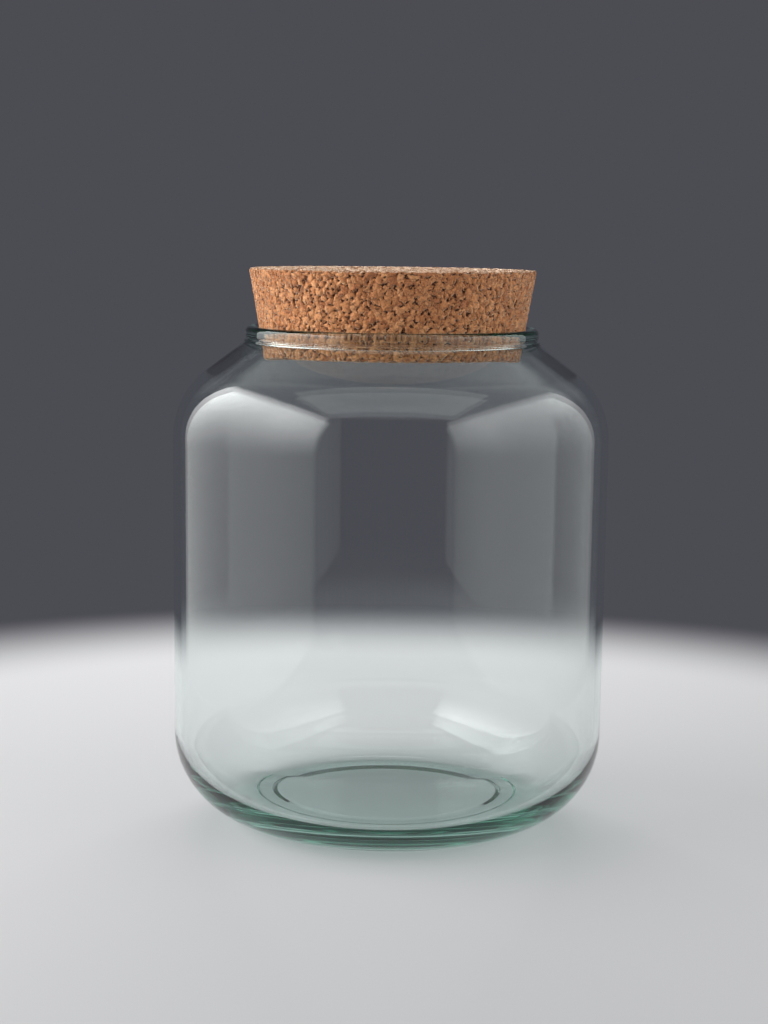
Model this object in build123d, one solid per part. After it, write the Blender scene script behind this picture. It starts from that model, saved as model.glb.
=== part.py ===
from build123d import *
import os
from math import cos, radians, tan

# A clear glass storage jar closed by a tapered cork stopper.
# Millimetres, +Z up. The origin is on the jar's axis, on the surface that it stands on.
# Both pieces are round, so each is one half section turned about Z.

# The mouth, which the stopper's taper follows
mouth_diameter = 107.0  # across the bore, in the plane of the lip's top
mouth_taper = 10.0  # degrees that the bore and the stopper lean away from the axis
mouth_depth = 6.5  # how far the tapered bore runs down from the lip's top
mouth_foot_round = 2.5

# The stopper
stopper_proud = 23.0  # stands above the lip
stopper_depth = 12.5  # hangs down into the jar
stopper_edge_round = 1.0
seat_clearance = 0.15  # between the stopper's side and the bore, on each side

# The lip, a rounded bead over a groove, with a neck ring below it
lip_width = 5.1  # glass from the bore to the bead's outside, in the plane of the lip's top
lip_height = 4.2
lip_round_share = 0.52  # of the lip's width or height, the less, for its two top edges
groove_width = 1.1
groove_depth = 0.8  # from the bead's outside
groove_round_share = 0.3  # of the groove's width, for its bottom and its two edges
neck_ring_overhang = 0.5  # the ring stands this much further out than the bead
neck_ring_height = 0.95
neck_foot_round_share = 0.7  # of the ring's height, where it runs out into the shoulder

# The body, outside
jar_height = 200.0  # to the lip's top
body_diameter = 175.0  # where the wall's line meets the shoulder's, 0.1 mm over the widest glass
wall_draw = 0.5  # how much nearer the axis the wall stands at its foot
shoulder_slope = 37.3  # degrees from level
shoulder_radius = 32.7
shoulder_room_share = 0.95  # of the slope's length, the most that the rounding may take
heel_radius = 35.4

# The glass
wall_thickness = 2.8
inner_heel_tightening = 4.6  # how much tighter the heel turns inside than an even wall would
floor_thickness = 6.5  # over the raised panel

# The underside, a bearing ring between the heel and a raised panel
heel_tilt = 5.5  # degrees that the heel's underside rises outward, before it rounds up
heel_straight = 0.6  # between the heel's rounding and the ring's outer step
bearing_ring_width = 5.8
bearing_ring_stand = 0.8  # how far the ring stands below the heel's underside
bearing_ring_flare = 0.8  # how far the step up to the heel runs outward
bearing_ring_round = 0.4
panel_rise = 2.0
panel_flare = 2.0  # how far the step up to the panel runs inward
panel_round = 1.0

# Places that follow from those sizes
body_radius = body_diameter / 2
foot_radius = body_radius - wall_draw
mouth_radius = mouth_diameter / 2
taper_slope = tan(radians(mouth_taper))
lip_radius = mouth_radius + lip_width
neck_ring_radius = lip_radius + neck_ring_overhang
groove_radius = lip_radius - groove_depth
lip_foot_z = jar_height - lip_height
groove_z = lip_foot_z - groove_width / 2
neck_ring_top_z = lip_foot_z - groove_width
neck_foot_z = neck_ring_top_z - neck_ring_height
slope_rise = tan(radians(shoulder_slope))
half_turn_rise = tan(radians(90 - shoulder_slope) / 2)  # of half the turn from wall to slope
shoulder_corner_z = neck_foot_z - (body_radius - neck_ring_radius) * slope_rise
floor_z = panel_rise + floor_thickness
heel_slope = tan(radians(heel_tilt))
heel_half_turn_rise = tan(radians(90 - heel_tilt) / 2)  # of half the turn from underside to wall
heel_run = (heel_radius * heel_half_turn_rise + heel_straight) * cos(radians(heel_tilt))
heel_start_radius = foot_radius - heel_run
bearing_ring_radius = heel_start_radius - bearing_ring_flare


def turned(corners):
    """Turn a half section about Z. A corner is (radius, height, rounding), from axis to axis."""
    points = [(radius, height) for radius, height, rounding in corners]
    roundings = [rounding for radius, height, rounding in corners[1:-1]]
    with BuildPart() as solid:
        with BuildSketch(Plane.XZ):
            with BuildLine():
                outline = FilletPolyline(points, radius=roundings)
                Line(outline @ 1, outline @ 0)
            make_face()
        revolve(axis=Axis.Z)
    return solid.part


def shoulder_bend():
    """The outer rounding of the shoulder, no larger than the slope above it has room for."""
    slope_length = Vector(body_radius - neck_ring_radius, neck_foot_z - shoulder_corner_z).length
    return min(shoulder_radius, shoulder_room_share * slope_length / half_turn_rise)


def underside():
    """From the axis out over the raised panel and the bearing ring to the heel."""
    ring_inner_radius = bearing_ring_radius - bearing_ring_width
    return [
        (0, panel_rise, 0),
        (ring_inner_radius - panel_flare, panel_rise, panel_round),
        (ring_inner_radius, 0, bearing_ring_round),
        (bearing_ring_radius, 0, bearing_ring_round),
        (heel_start_radius, bearing_ring_stand, bearing_ring_round),
        (foot_radius, bearing_ring_stand + heel_run * heel_slope, heel_radius),
    ]


def outside():
    """Up the wall, over the shoulder and the neck ring, and into the groove."""
    groove_round = groove_round_share * groove_width
    return [
        (body_radius, shoulder_corner_z, shoulder_bend()),
        (neck_ring_radius, neck_foot_z, neck_foot_round_share * neck_ring_height),
        (neck_ring_radius, neck_ring_top_z, groove_round),
        (groove_radius, groove_z, groove_round),
        (lip_radius, lip_foot_z, groove_round),
    ]


def lip_and_mouth():
    """Over the rounded lip and down the tapered bore."""
    lip_round = lip_round_share * min(lip_width, lip_height)
    return [
        (lip_radius, jar_height, lip_round),
        (mouth_radius, jar_height, lip_round),
        (mouth_radius - mouth_depth * taper_slope, jar_height - mouth_depth, mouth_foot_round),
    ]


def inside():
    """Down the inner shoulder and wall, round the inner heel and in over the floor."""
    inner_corner_z = shoulder_corner_z - wall_thickness * half_turn_rise
    inner_heel_radius = heel_radius - wall_thickness - inner_heel_tightening
    return [
        (body_radius - wall_thickness, inner_corner_z, shoulder_bend() - wall_thickness),
        (foot_radius - wall_thickness, floor_z, inner_heel_radius),
        (0, floor_z, 0),
    ]


def glass_jar():
    """The jar, one piece of glass from the raised panel to the lip."""
    return turned(underside() + outside() + lip_and_mouth() + inside())


def cork_stopper():
    """The stopper, a tapered plug that stands clear of the bore by the seat clearance."""
    radius_at_lip = mouth_radius - seat_clearance
    return turned([
        (0, jar_height - stopper_depth, 0),
        (radius_at_lip - stopper_depth * taper_slope, jar_height - stopper_depth, stopper_edge_round),
        (radius_at_lip + stopper_proud * taper_slope, jar_height + stopper_proud, stopper_edge_round),
        (0, jar_height + stopper_proud, 0),
    ])


os.makedirs("parts", exist_ok=True)
export_step(glass_jar(), "parts/glass_jar.step")
export_step(cork_stopper(), "parts/cork_stopper.step")
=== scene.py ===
from math import ceil, cos, pi, radians, tan

import bmesh
import bpy
from mathutils import Matrix, Vector


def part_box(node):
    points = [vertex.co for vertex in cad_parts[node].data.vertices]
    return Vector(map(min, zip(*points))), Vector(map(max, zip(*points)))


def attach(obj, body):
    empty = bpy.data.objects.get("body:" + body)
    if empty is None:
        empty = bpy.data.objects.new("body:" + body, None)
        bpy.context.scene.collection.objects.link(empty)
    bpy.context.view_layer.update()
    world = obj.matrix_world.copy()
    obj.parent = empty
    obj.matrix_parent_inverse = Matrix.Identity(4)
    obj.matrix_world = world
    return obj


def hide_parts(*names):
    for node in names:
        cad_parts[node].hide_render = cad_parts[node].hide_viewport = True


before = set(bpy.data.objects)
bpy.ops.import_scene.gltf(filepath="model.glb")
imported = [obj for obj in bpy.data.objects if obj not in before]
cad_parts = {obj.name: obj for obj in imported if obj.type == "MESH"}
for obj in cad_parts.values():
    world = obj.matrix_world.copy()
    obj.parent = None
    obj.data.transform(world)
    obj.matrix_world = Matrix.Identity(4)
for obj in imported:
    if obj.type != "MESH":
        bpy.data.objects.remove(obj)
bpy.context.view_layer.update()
scene = bpy.context.scene
scene.view_settings.view_transform = "Standard"
# Light runs round inside the thick heel of the glass many times before it comes out green
scene.cycles.glossy_bounces = 16
scene.cycles.transmission_bounces = 24
scene.cycles.max_bounces = 24

# Camera
# A 70 mm lens at the photograph's distance and height, looking a little down. The jar stands
# 6 pixels right of the middle, and the picture leans 0.7 degrees clockwise.
camera_distance = 0.8
camera_height = 0.2377
look_down = 0.140
jar_right_of_middle_pixels = 5.9
focal_length_pixels = 1991.1
picture_lean = radians(0.7)

camera = bpy.data.objects.new("camera", bpy.data.cameras.new("camera"))
camera.data.lens = 70
camera.data.sensor_width = 36
camera.matrix_world = (
    Matrix.Translation((0, -camera_distance, camera_height))
    @ Matrix.Rotation(jar_right_of_middle_pixels / focal_length_pixels, 4, "Z")
    @ Matrix.Rotation(pi / 2 - look_down, 4, "X")
    @ Matrix.Rotation(picture_lean, 4, "Z")
)
scene.collection.objects.link(camera)
scene.camera = camera

# Jar
# One piece of soda-lime glass, blown in a mould, from the raised panel under its floor to the
# rounded lip. It stands freely on a ring round that panel.
MM = 0.001  # plain sizes are in millimetres until a mesh is made
mouth_radius = 53.5
mouth_taper = radians(10)
mouth_depth = 6.5
mouth_foot_round = 2.5
lip_width = 5.1
lip_height = 4.2
lip_round = 0.52 * lip_height
groove_width = 1.1
groove_depth = 0.8
groove_round = 0.3 * groove_width
neck_ring_overhang = 0.5
neck_ring_height = 0.95
neck_foot_round = 0.7 * neck_ring_height
jar_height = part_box("glass_jar")[1].z / MM
body_radius = 87.5
foot_radius = 87.0
shoulder_slope = radians(37.3)
shoulder_radius = 32.7
heel_radius = 35.4
heel_tilt = radians(5.5)
heel_straight = 0.6
wall_thickness = 2.8
inner_heel_radius = 28.0
floor_thickness = 6.5
ring_width = 5.8
ring_stand = 0.8
ring_flare = 0.8
ring_round = 0.4
panel_rise = 2.0
panel_flare = 2.0
panel_round = 1.0

lip_radius = mouth_radius + lip_width
neck_ring_radius = lip_radius + neck_ring_overhang
neck_ring_top = jar_height - lip_height - groove_width
neck_foot = neck_ring_top - neck_ring_height
shoulder_corner = neck_foot - (body_radius - neck_ring_radius) * tan(shoulder_slope)
inner_shoulder_corner = shoulder_corner - wall_thickness * tan((pi / 2 - shoulder_slope) / 2)
heel_run = (heel_radius * tan((pi / 2 - heel_tilt) / 2) + heel_straight) * cos(heel_tilt)
heel_start = foot_radius - heel_run
ring_outside = heel_start - ring_flare
ring_inside = ring_outside - ring_width


def linear(hex_colour):
    """An sRGB hex colour as the linear colour that a shader takes."""
    shares = [int(hex_colour[i:i + 2], 16) / 255 for i in (1, 3, 5)]
    return [c / 12.92 if c <= 0.04045 else ((c + 0.055) / 1.055) ** 2.4 for c in shares] + [1]


def add(tree, kind, sockets=(), **settings):
    """Add a node with its settings, and give its sockets their links or values."""
    made = tree.nodes.new(kind)
    for name, value in settings.items():
        setattr(made, name, value)
    for name, value in dict(sockets).items():
        if isinstance(value, bpy.types.NodeSocket):
            tree.links.new(value, made.inputs[name])
        else:
            made.inputs[name].default_value = value
    return made


def new_material(name):
    """An empty material and its node tree."""
    made = bpy.data.materials.new(name)
    made.use_nodes = True
    made.node_tree.nodes.clear()
    return made, made.node_tree


def new_piece(name, mesh, material):
    """A smooth object made of that mesh, in millimetres until now."""
    bmesh.ops.scale(mesh, vec=(MM, MM, MM), verts=mesh.verts)
    for face in mesh.faces:
        face.smooth = True
    made = bpy.data.objects.new(name, bpy.data.meshes.new(name))
    mesh.to_mesh(made.data)
    mesh.free()
    made.data.materials.append(material)
    scene.collection.objects.link(made)
    return made


def turned(corners, arc_step, steps):
    """A solid turned about Z. A corner of its half section is (radius, height, rounding)."""
    solid = bmesh.new()
    points = [Vector((radius, 0, height)) for radius, height, rounding in corners]
    pen = bmesh.ops.create_vert(solid, co=points[0])["vert"][0]
    for before, corner, following, (_, _, rounding) in zip(
        points, points[1:], points[2:], corners[1:]
    ):
        way_in = (corner - before).normalized()
        way_out = (following - corner).normalized()
        turn = way_in.angle(way_out)
        axis = way_in.cross(way_out).normalized()
        start = corner - way_in * rounding * tan(turn / 2)
        pen = bmesh.ops.extrude_vert_indiv(solid, verts=[pen])["verts"][0]
        pen.co = start
        arc = bmesh.ops.spin(
            solid,
            geom=[pen],
            cent=start + axis.cross(way_in) * rounding,
            axis=axis,
            angle=turn,
            steps=ceil(turn / arc_step),
        )
        pen = next(part for part in arc["geom_last"] if isinstance(part, bmesh.types.BMVert))
    pen = bmesh.ops.extrude_vert_indiv(solid, verts=[pen])["verts"][0]
    pen.co = points[-1]
    bmesh.ops.spin(
        solid,
        geom=solid.verts[:] + solid.edges[:],
        axis=(0, 0, 1),
        angle=2 * pi,
        steps=steps,
        use_merge=True,
    )
    bmesh.ops.remove_doubles(solid, verts=solid.verts, dist=0.001)
    bmesh.ops.recalc_face_normals(solid, faces=solid.faces)
    return solid


# Soda-lime glass takes a clean fire polish, so it is clear and mirror smooth. Blowing leaves soft
# waves that bend what shows through it, and its trace of iron turns a long way through it green.
# Its shadow is light where light meets the glass squarely and dark where it grazes it.
glass, tree = new_material("soda_lime_glass")
wave_width = 30 * MM
wave_height = 0.03 * MM
wave_stretch = 4  # times as tall as they are wide
light_let_through = 0.94  # where the light meets the glass squarely
grazing_power = 5  # the higher, the nearer to grazing before that falls to nothing
place = add(tree, "ShaderNodeTexCoord").outputs["Object"]
drawn_out = add(tree, "ShaderNodeMapping", {"Vector": place, "Scale": (1, 1, 1 / wave_stretch)})
waves = add(
    tree,
    "ShaderNodeTexNoise",
    {"Vector": drawn_out.outputs[0], "Scale": 1 / wave_width, "Detail": 1},
)
wavy = add(
    tree, "ShaderNodeBump", {"Height": waves.outputs[0], "Strength": 1, "Distance": wave_height}
)
body = add(
    tree,
    "ShaderNodeBsdfPrincipled",
    {
        "Base Color": linear("#ffffff"),
        "Roughness": 0,
        "IOR": 1.52,
        "Transmission Weight": 1,
        "Normal": wavy.outputs[0],
    },
)
rays = add(tree, "ShaderNodeLightPath")
unbent = add(
    tree,
    "ShaderNodeMath",
    {0: rays.outputs["Is Shadow Ray"], 1: rays.outputs["Is Diffuse Ray"]},
    operation="MAXIMUM",
)
facing = add(tree, "ShaderNodeLayerWeight", {"Blend": 0.5}).outputs["Facing"]
grazing = add(tree, "ShaderNodeMath", {0: facing, 1: grazing_power}, operation="POWER")
let_through = add(
    tree,
    "ShaderNodeMapRange",
    {"Value": grazing.outputs[0], "To Min": light_let_through, "To Max": 0},
)
passing = add(tree, "ShaderNodeBsdfTransparent", {"Color": let_through.outputs[0]})
surface = add(
    tree, "ShaderNodeMixShader", {0: unbent.outputs[0], 1: body.outputs[0], 2: passing.outputs[0]}
)
tint = add(tree, "ShaderNodeVolumeAbsorption", {"Color": linear("#4dd6bd"), "Density": 14})
add(
    tree,
    "ShaderNodeOutputMaterial",
    {"Surface": surface.outputs[0], "Volume": tint.outputs[0]},
)

jar = new_piece(
    "blown_glass_jar",
    turned(
        [
            (0, panel_rise, 0),
            (ring_inside - panel_flare, panel_rise, panel_round),
            (ring_inside, 0, ring_round),
            (ring_outside, 0, ring_round),
            (heel_start, ring_stand, ring_round),
            (foot_radius, ring_stand + heel_run * tan(heel_tilt), heel_radius),
            (body_radius, shoulder_corner, shoulder_radius),
            (neck_ring_radius, neck_foot, neck_foot_round),
            (neck_ring_radius, neck_ring_top, groove_round),
            (lip_radius - groove_depth, neck_ring_top + groove_width / 2, groove_round),
            (lip_radius, neck_ring_top + groove_width, groove_round),
            (lip_radius, jar_height, lip_round),
            (mouth_radius, jar_height, lip_round),
            (
                mouth_radius - mouth_depth * tan(mouth_taper),
                jar_height - mouth_depth,
                mouth_foot_round,
            ),
            (
                body_radius - wall_thickness,
                inner_shoulder_corner,
                shoulder_radius - wall_thickness,
            ),
            (foot_radius - wall_thickness, panel_rise + floor_thickness, inner_heel_radius),
            (0, panel_rise + floor_thickness, 0),
        ],
        arc_step=radians(5),
        steps=256,
    ),
    glass,
)
jar.modifiers.new("flat_runs_stay_flat", "WEIGHTED_NORMAL").mode = "FACE_AREA"
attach(jar, "jar")
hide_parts("glass_jar")

# Stopper
# Pressed cork, ground to a taper and pushed into the mouth: chips of 1 to 4 mm glued into a
# block, lying every way. The pits and the larger chips' tilted faces are in the mesh.
cork_low, cork_high = (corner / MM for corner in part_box("cork_stopper"))
cork_edge_round = 1.0
cork_top_radius = cork_high.x + cork_edge_round * (1 / cos(mouth_taper) + tan(mouth_taper) - 1)
cork_foot_radius = cork_top_radius - (cork_high.z - cork_low.z) * tan(mouth_taper)
chip_width = 2.7 * MM
chip_tilt = 0.8 * MM  # a chip's face rises across the chip by up to about half of this
chip_tilt_middle = 0.24 * MM  # how far the faces lie below the ground surface, before they tilt
chip_crown = 0.2 * MM  # how far a chip's middle stands above its rim
chip_edge = 0.75 * MM  # how far in from its seam a chip is rounded
chip_drift = 2.5 * MM  # how strongly the chips are pushed out of shape
drift_width = 3 * MM
crumb_width = 1.2 * MM  # the smaller chips between, which only the material shows
pit_width = 1.35 * MM
pit_depth = 0.8 * MM
pit_edge, pit_floor = 0.465, 0.4  # levels of the noise that hollows out the pits
pits_kept_off_chips = 0.16  # added to that noise in the middle of a chip
# Seams between chips, darkened by painted shade where they open, and the bark's own grain are
# finer than this, and are drawn as coarse as they need to show
chip_seam_width = 0.35 * MM
crumb_seam_width = 0.21 * MM
grain_width = 0.8 * MM
grain_low, grain_high = 0.3, 0.7  # levels of the noise that mottles the grain
darkest_grain, palest_grain = 0.75, 1.2  # times the chip's own tone
open_seam_patch_width = 1.8 * MM
open_seam_edge, open_seam_middle = 0.38, 0.6  # levels of the noise that picks which seams open as creases
painted_seam_shade = 0.7  # how far painted shade takes an open seam towards the crease colour
fine_relief = 0.3 * MM
grain_rise, crumb_lean, seam_sink, pit_sink = 0.5, 1.6, 0.7, 1.5  # times the fine relief
mesh_width = 0.62 * MM


def cells(tree, place, width):
    """Chips of one width: how far in from the seam, how the chip's face lies, its own colour."""
    sockets = {"Vector": place, "Scale": 1 / width}
    seam = add(tree, "ShaderNodeTexVoronoi", sockets, feature="DISTANCE_TO_EDGE")
    own = add(tree, "ShaderNodeTexVoronoi", sockets)
    facing = add(
        tree,
        "ShaderNodeVectorMath",
        {0: own.outputs["Color"], 1: (0.5, 0.5, 0.5)},
        operation="SUBTRACT",
    )
    across = add(
        tree,
        "ShaderNodeVectorMath",
        {0: place, 1: own.outputs["Position"]},
        operation="SUBTRACT",
    )
    lie = add(
        tree,
        "ShaderNodeVectorMath",
        {0: facing.outputs[0], 1: across.outputs[0]},
        operation="DOT_PRODUCT",
    )
    inside = add(
        tree, "ShaderNodeMath", {0: seam.outputs["Distance"], 1: width}, operation="MULTIPLY"
    )
    return inside.outputs[0], lie.outputs["Value"], own.outputs["Color"]


def chips(tree, place):
    """The pressed chips: the place drawn askew, the large chips there, and how deep in a pit."""
    drift = add(tree, "ShaderNodeTexNoise", {"Vector": place, "Scale": 1 / drift_width})
    centred = add(
        tree,
        "ShaderNodeVectorMath",
        {0: drift.outputs["Color"], 1: (0.5, 0.5, 0.5)},
        operation="SUBTRACT",
    )
    askew = add(
        tree,
        "ShaderNodeVectorMath",
        {0: centred.outputs[0], 1: (chip_drift, chip_drift, chip_drift), 2: place},
        operation="MULTIPLY_ADD",
    )
    inside, lie, own = cells(tree, askew.outputs[0], chip_width)
    crown = add(
        tree,
        "ShaderNodeMapRange",
        {"Value": inside, "From Min": 0, "From Max": chip_edge},
        interpolation_type="SMOOTHSTEP",
    )
    gaps = add(
        tree,
        "ShaderNodeTexNoise",
        {"Vector": place, "Scale": 1 / pit_width, "Detail": 2, "Roughness": 0.55},
    )
    filled = add(
        tree,
        "ShaderNodeMath",
        {0: crown.outputs[0], 1: pits_kept_off_chips, 2: gaps.outputs[0]},
        operation="MULTIPLY_ADD",
    )
    pit = add(
        tree,
        "ShaderNodeMapRange",
        {"Value": filled.outputs[0], "From Min": pit_edge, "From Max": pit_floor},
        interpolation_type="SMOOTHSTEP",
    )
    return askew.outputs[0], inside, lie, own, crown.outputs[0], pit.outputs[0]


relief = bpy.data.node_groups.new("chip_relief", "GeometryNodeTree")
relief.interface.new_socket("Geometry", in_out="INPUT", socket_type="NodeSocketGeometry")
relief.interface.new_socket("Geometry", in_out="OUTPUT", socket_type="NodeSocketGeometry")
plain = add(relief, "NodeGroupInput")
place = add(relief, "GeometryNodeInputPosition").outputs[0]
_, _, lie, _, crown, pit = chips(relief, place)
kept_place = add(
    relief,
    "GeometryNodeStoreNamedAttribute",
    {"Geometry": plain.outputs[0], "Name": "ground_place", "Value": place},
    data_type="FLOAT_VECTOR",
    domain="POINT",
)
tilted = add(
    relief,
    "ShaderNodeMath",
    {0: lie, 1: chip_tilt / chip_width, 2: -chip_tilt_middle},
    operation="MULTIPLY_ADD",
)
crowned = add(
    relief,
    "ShaderNodeMath",
    {0: crown, 1: chip_crown, 2: tilted.outputs[0]},
    operation="MULTIPLY_ADD",
)
pitted = add(
    relief,
    "ShaderNodeMath",
    {0: pit, 1: -pit_depth, 2: crowned.outputs[0]},
    operation="MULTIPLY_ADD",
)
height = add(relief, "ShaderNodeMath", {0: pitted.outputs[0], 1: 0}, operation="MINIMUM")
inward = add(
    relief,
    "ShaderNodeVectorMath",
    {0: add(relief, "GeometryNodeInputNormal").outputs[0], "Scale": height.outputs[0]},
    operation="SCALE",
)
rough = add(
    relief,
    "GeometryNodeSetPosition",
    {"Geometry": kept_place.outputs[0], "Offset": inward.outputs[0]},
)
add(relief, "NodeGroupOutput", {0: rough.outputs[0]})

# Pressed cork is dry bark, ground and not sealed, so it is dull, with a pale bloom where the eye
# grazes it. Chips from all depths of the bark differ in tone, and painted shade darkens their open
# seams and their pits.
cork, tree = new_material("agglomerated_cork")
place = add(
    tree, "ShaderNodeAttribute", attribute_type="GEOMETRY", attribute_name="ground_place"
).outputs["Vector"]
askew, inside, _, own, crown, pit = chips(tree, place)
crumb_inside, crumb_lie, _ = cells(tree, askew, crumb_width)
shade = add(tree, "ShaderNodeSeparateColor", {0: own})
tones = add(tree, "ShaderNodeValToRGB", {0: shade.outputs[0]})
tones.color_ramp.elements[0].color = linear("#a0643e")
tones.color_ramp.elements[1].color = linear("#cf9466")
tones.color_ramp.elements.new(0.15).color = linear("#b4764a")
tones.color_ramp.elements.new(0.7).color = linear("#c28557")
grain = add(tree, "ShaderNodeTexNoise", {"Vector": place, "Scale": 1 / grain_width, "Detail": 3})
mottled = add(
    tree,
    "ShaderNodeMapRange",
    {
        "Value": grain.outputs[0],
        "From Min": grain_low,
        "From Max": grain_high,
        "To Min": darkest_grain,
        "To Max": palest_grain,
    },
)
toned = add(
    tree,
    "ShaderNodeVectorMath",
    {0: tones.outputs[0], "Scale": mottled.outputs[0]},
    operation="SCALE",
)
chip_seam = add(
    tree,
    "ShaderNodeMapRange",
    {"Value": inside, "From Min": chip_seam_width, "From Max": 0},
    interpolation_type="SMOOTHSTEP",
)
crumb_seam = add(
    tree,
    "ShaderNodeMapRange",
    {"Value": crumb_inside, "From Min": crumb_seam_width, "From Max": 0},
    interpolation_type="SMOOTHSTEP",
)
any_seam = add(
    tree,
    "ShaderNodeMath",
    {0: crumb_seam.outputs[0], 1: chip_seam.outputs[0]},
    operation="MAXIMUM",
)
seam_opening = add(
    tree, "ShaderNodeTexNoise", {"Vector": place, "Scale": 1 / open_seam_patch_width, "Detail": 1}
)
open_seams = add(
    tree,
    "ShaderNodeMapRange",
    {"Value": seam_opening.outputs[0], "From Min": open_seam_edge, "From Max": open_seam_middle},
    interpolation_type="SMOOTHSTEP",
)
seam = add(
    tree, "ShaderNodeMath", {0: any_seam.outputs[0], 1: open_seams.outputs[0]}, operation="MULTIPLY"
)
seam_shade_amount = add(tree, "ShaderNodeMath", {0: seam.outputs[0], 1: painted_seam_shade}, operation="MULTIPLY")
# Painted shade: the open seams darken towards the brown of a shaded crease
seams_painted_dark = add(
    tree,
    "ShaderNodeMix",
    {0: seam_shade_amount.outputs[0], 6: toned.outputs[0], 7: linear("#7a4527")},
    data_type="RGBA",
)
# Painted shade: the pits darken towards the brown of their shaded depths
shadowed = add(
    tree,
    "ShaderNodeMix",
    {0: pit, 6: seams_painted_dark.outputs[2], 7: linear("#512b15")},
    data_type="RGBA",
)
rising = add(
    tree, "ShaderNodeMath", {0: grain.outputs[0], 1: grain_rise, 2: crown}, operation="MULTIPLY_ADD"
)
leaning = add(
    tree,
    "ShaderNodeMath",
    {0: crumb_lie, 1: crumb_lean / crumb_width, 2: rising.outputs[0]},
    operation="MULTIPLY_ADD",
)
parted = add(
    tree,
    "ShaderNodeMath",
    {0: seam.outputs[0], 1: -seam_sink, 2: leaning.outputs[0]},
    operation="MULTIPLY_ADD",
)
sunken = add(
    tree,
    "ShaderNodeMath",
    {0: pit, 1: -pit_sink, 2: parted.outputs[0]},
    operation="MULTIPLY_ADD",
)
lumpy = add(
    tree,
    "ShaderNodeBump",
    {"Height": sunken.outputs[0], "Strength": 0.8, "Distance": fine_relief},
)
body = add(
    tree,
    "ShaderNodeBsdfPrincipled",
    {
        "Base Color": shadowed.outputs[2],
        "Roughness": 0.7,
        "Specular IOR Level": 0.7,
        "Sheen Weight": 1,
        "Sheen Roughness": 0.3,
        "Sheen Tint": linear("#ffe8cf"),
        "Normal": lumpy.outputs[0],
    },
)
add(tree, "ShaderNodeOutputMaterial", {"Surface": body.outputs[0]})

stopper = new_piece(
    "pressed_cork_stopper",
    turned(
        [
            (0, cork_low.z, 0),
            (cork_foot_radius, cork_low.z, cork_edge_round),
            (cork_top_radius, cork_high.z, cork_edge_round),
            (0, cork_high.z, 0),
        ],
        arc_step=radians(10),
        steps=256,
    ),
    cork,
)
even = stopper.modifiers.new("even_mesh", "REMESH")
even.mode = "VOXEL"
even.voxel_size = mesh_width
even.use_smooth_shade = True
stopper.modifiers.new("chip_relief", "NODES").node_group = relief
view_layer = bpy.context.evaluated_depsgraph_get()
finished = bpy.data.meshes.new_from_object(
    stopper.evaluated_get(view_layer), preserve_all_data_layers=True, depsgraph=view_layer
)
stopper.modifiers.clear()
stopper.data = finished
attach(stopper, "stopper")
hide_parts("cork_stopper")

# Floor
# A wide table of board under chalky pale paint, which has no gloss. It fades some way off into
# the grey of the backdrop.
pale_radius = 300 * MM
grey_radius = 460 * MM
table_radius = 6000
backdrop = linear("#4c4c53")
table, tree = new_material("chalk_painted_board")
place = add(tree, "ShaderNodeTexCoord").outputs["Object"]
reach = add(tree, "ShaderNodeVectorMath", {0: place}, operation="LENGTH")
fade = add(
    tree,
    "ShaderNodeMapRange",
    {"Value": reach.outputs["Value"], "From Min": pale_radius, "From Max": grey_radius},
    interpolation_type="SMOOTHSTEP",
)
paint = add(tree, "ShaderNodeBsdfDiffuse", {"Color": linear("#c4c4c6")})
far_off = add(tree, "ShaderNodeEmission", {"Color": backdrop, "Strength": 1})
surface = add(
    tree, "ShaderNodeMixShader", {0: fade.outputs[0], 1: paint.outputs[0], 2: far_off.outputs[0]}
)
add(tree, "ShaderNodeOutputMaterial", {"Surface": surface.outputs[0]})
table.cycles.emission_sampling = "NONE"
disc = bmesh.new()
bmesh.ops.create_circle(disc, cap_ends=True, segments=96, radius=table_radius)
floor = new_piece("floor", disc, table)

# Light
# Two big lamps stand well away to the left and right, so that they light the stopper and the floor
# evenly, and a small one low behind picks out the stopper's top edge. In their place, three cards
# nearer the jar show as its softboxes' reflections, and nowhere else.
glow_foot, glow_top = 100 * MM, 450 * MM  # a card brightens between these heights
soft_edge = 50 * MM  # over which an upright card fades out
near_run = 260 * MM  # over which it brightens from its near end
near_share = 0.45  # of its radiance, left at that end
lamp_spread = radians(120)
fill_light = 0.1  # white light from all round, as a share of full white


def lamp(name, centre, facing, size, lit):
    """A lamp of radiance lit that lights matt surfaces and shows nowhere."""
    made = bpy.data.objects.new(name, bpy.data.lights.new(name, "AREA"))
    made.data.shape = "RECTANGLE"
    made.data.size, made.data.size_y = (side * MM for side in size)
    made.data.energy = lit * pi * made.data.size * made.data.size_y
    made.data.spread = lamp_spread
    turn = Vector(facing).to_track_quat("-Z", "Y")
    made.matrix_world = Matrix.LocRotScale(Vector(centre) * MM, turn, None)
    made.visible_camera = made.visible_glossy = made.visible_transmission = False
    scene.collection.objects.link(made)


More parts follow.
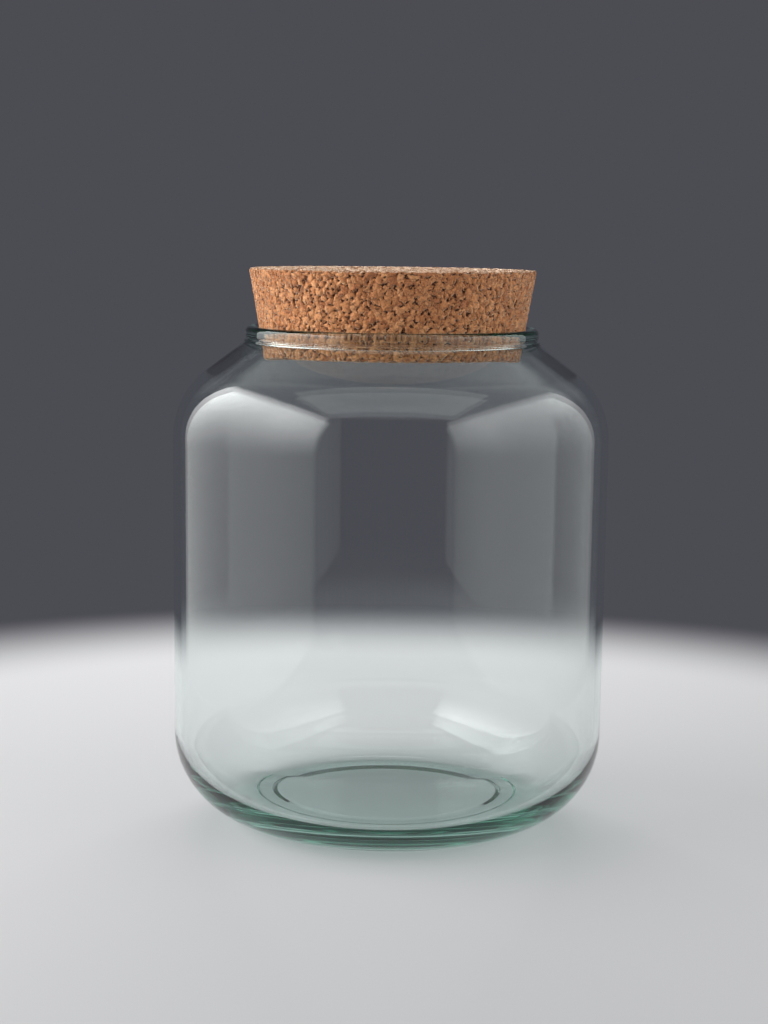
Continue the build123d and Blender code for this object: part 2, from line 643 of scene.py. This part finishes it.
def softbox(name, centre, facing, size, low, high, lean=0):
    """A card that only reflections see, of radiance low at its foot and high at its top.

    An upright one is dimmer towards its near end, and fades out at that end and at its top edge.
    """
    cloth, tree = new_material(name + "_cloth")
    place = add(tree, "ShaderNodeTexCoord").outputs["Object"]
    along = add(tree, "ShaderNodeSeparateXYZ", {0: place})
    glow = add(
        tree,
        "ShaderNodeMapRange",
        {
            "Value": along.outputs["Z"],
            "From Min": glow_foot,
            "From Max": glow_top,
            "To Min": low,
            "To Max": high,
        },
        interpolation_type="SMOOTHSTEP",
    )
    near_end = (centre[1] - size[0] / 2) * MM
    dimmed = add(
        tree,
        "ShaderNodeMapRange",
        {
            "Value": along.outputs["Y"],
            "From Min": near_end,
            "From Max": near_end + near_run,
            "To Min": near_share,
            "To Max": 1,
        },
    )
    lit = add(
        tree, "ShaderNodeMath", {0: glow.outputs[0], 1: dimmed.outputs[0]}, operation="MULTIPLY"
    )
    soft_end = add(
        tree,
        "ShaderNodeMapRange",
        {
            "Value": along.outputs["Y"],
            "From Min": near_end,
            "From Max": near_end + soft_edge,
            "To Max": lit.outputs[0],
        },
        interpolation_type="SMOOTHSTEP",
    )
    top_edge = (centre[2] + size[1] / 2 + lean * centre[1]) * MM
    rise = add(
        tree, "ShaderNodeVectorMath", {0: place, 1: (0, lean, 1)}, operation="DOT_PRODUCT"
    )
    soft_top = add(
        tree,
        "ShaderNodeMapRange",
        {
            "Value": rise.outputs["Value"],
            "From Min": top_edge,
            "From Max": top_edge - soft_edge,
            "To Max": soft_end.outputs[0],
        },
        interpolation_type="SMOOTHSTEP",
    )
    bounces = add(tree, "ShaderNodeLightPath").outputs["Glossy Depth"]
    seen = add(tree, "ShaderNodeMath", {0: bounces, 1: 0}, operation="GREATER_THAN")
    shown = add(
        tree,
        "ShaderNodeMixShader",
        {
            0: seen.outputs[0],
            1: add(tree, "ShaderNodeBsdfTransparent").outputs[0],
            2: add(tree, "ShaderNodeEmission", {"Strength": soft_top.outputs[0]}).outputs[0],
        },
    )
    add(tree, "ShaderNodeOutputMaterial", {"Surface": shown.outputs[0]})
    cloth.cycles.emission_sampling = "NONE"
    panel = bmesh.new()
    bmesh.ops.create_grid(panel, x_segments=1, y_segments=1, size=0.5)
    turn = Vector(facing).to_track_quat("-Z", "Y")
    hung = Matrix.LocRotScale(Vector(centre), turn, Vector((*size, 1)))
    bmesh.ops.transform(panel, matrix=hung, verts=panel.verts)
    for corner in panel.verts:
        if corner.co.z > centre[2]:
            corner.co.z -= lean * (corner.co.y - centre[1])
    card = new_piece(name + "_card", panel, cloth)
    card.visible_camera = card.visible_diffuse = card.visible_shadow = False


softbox("left", (-290, -127, 248), (1, 0, 0), (606, 536), 0.75, 5.0, lean=0.28)
softbox("right", (290, -177, 248), (-1, 0, 0), (666, 536), 0.45, 2.1, lean=0.30)
softbox("top", (0, -300, 1100), (0, 0, -1), (1150, 720), 0.8, 0.8)
lamp("left_lamp", (-800, -120, 340), (0.97, 0.15, -0.15), (1300, 600), 3.6)
lamp("right_lamp", (800, -300, 340), (-0.92, 0.35, -0.15), (1300, 600), 1.5)
lamp("back_lamp", (0, 900, 400), (0, -0.98, -0.19), (700, 150), 14)

world = bpy.data.worlds.new("studio")
world.use_nodes = True
tree = world.node_tree
tree.nodes.clear()
rays = add(tree, "ShaderNodeLightPath")
fill = add(tree, "ShaderNodeBackground", {"Color": linear("#ffffff"), "Strength": fill_light})
wall = add(tree, "ShaderNodeBackground", {"Color": backdrop, "Strength": 1})
shown = add(
    tree,
    "ShaderNodeMixShader",
    {0: rays.outputs["Is Diffuse Ray"], 1: wall.outputs[0], 2: fill.outputs[0]},
)
add(tree, "ShaderNodeOutputWorld", {"Surface": shown.outputs[0]})
scene.world = world
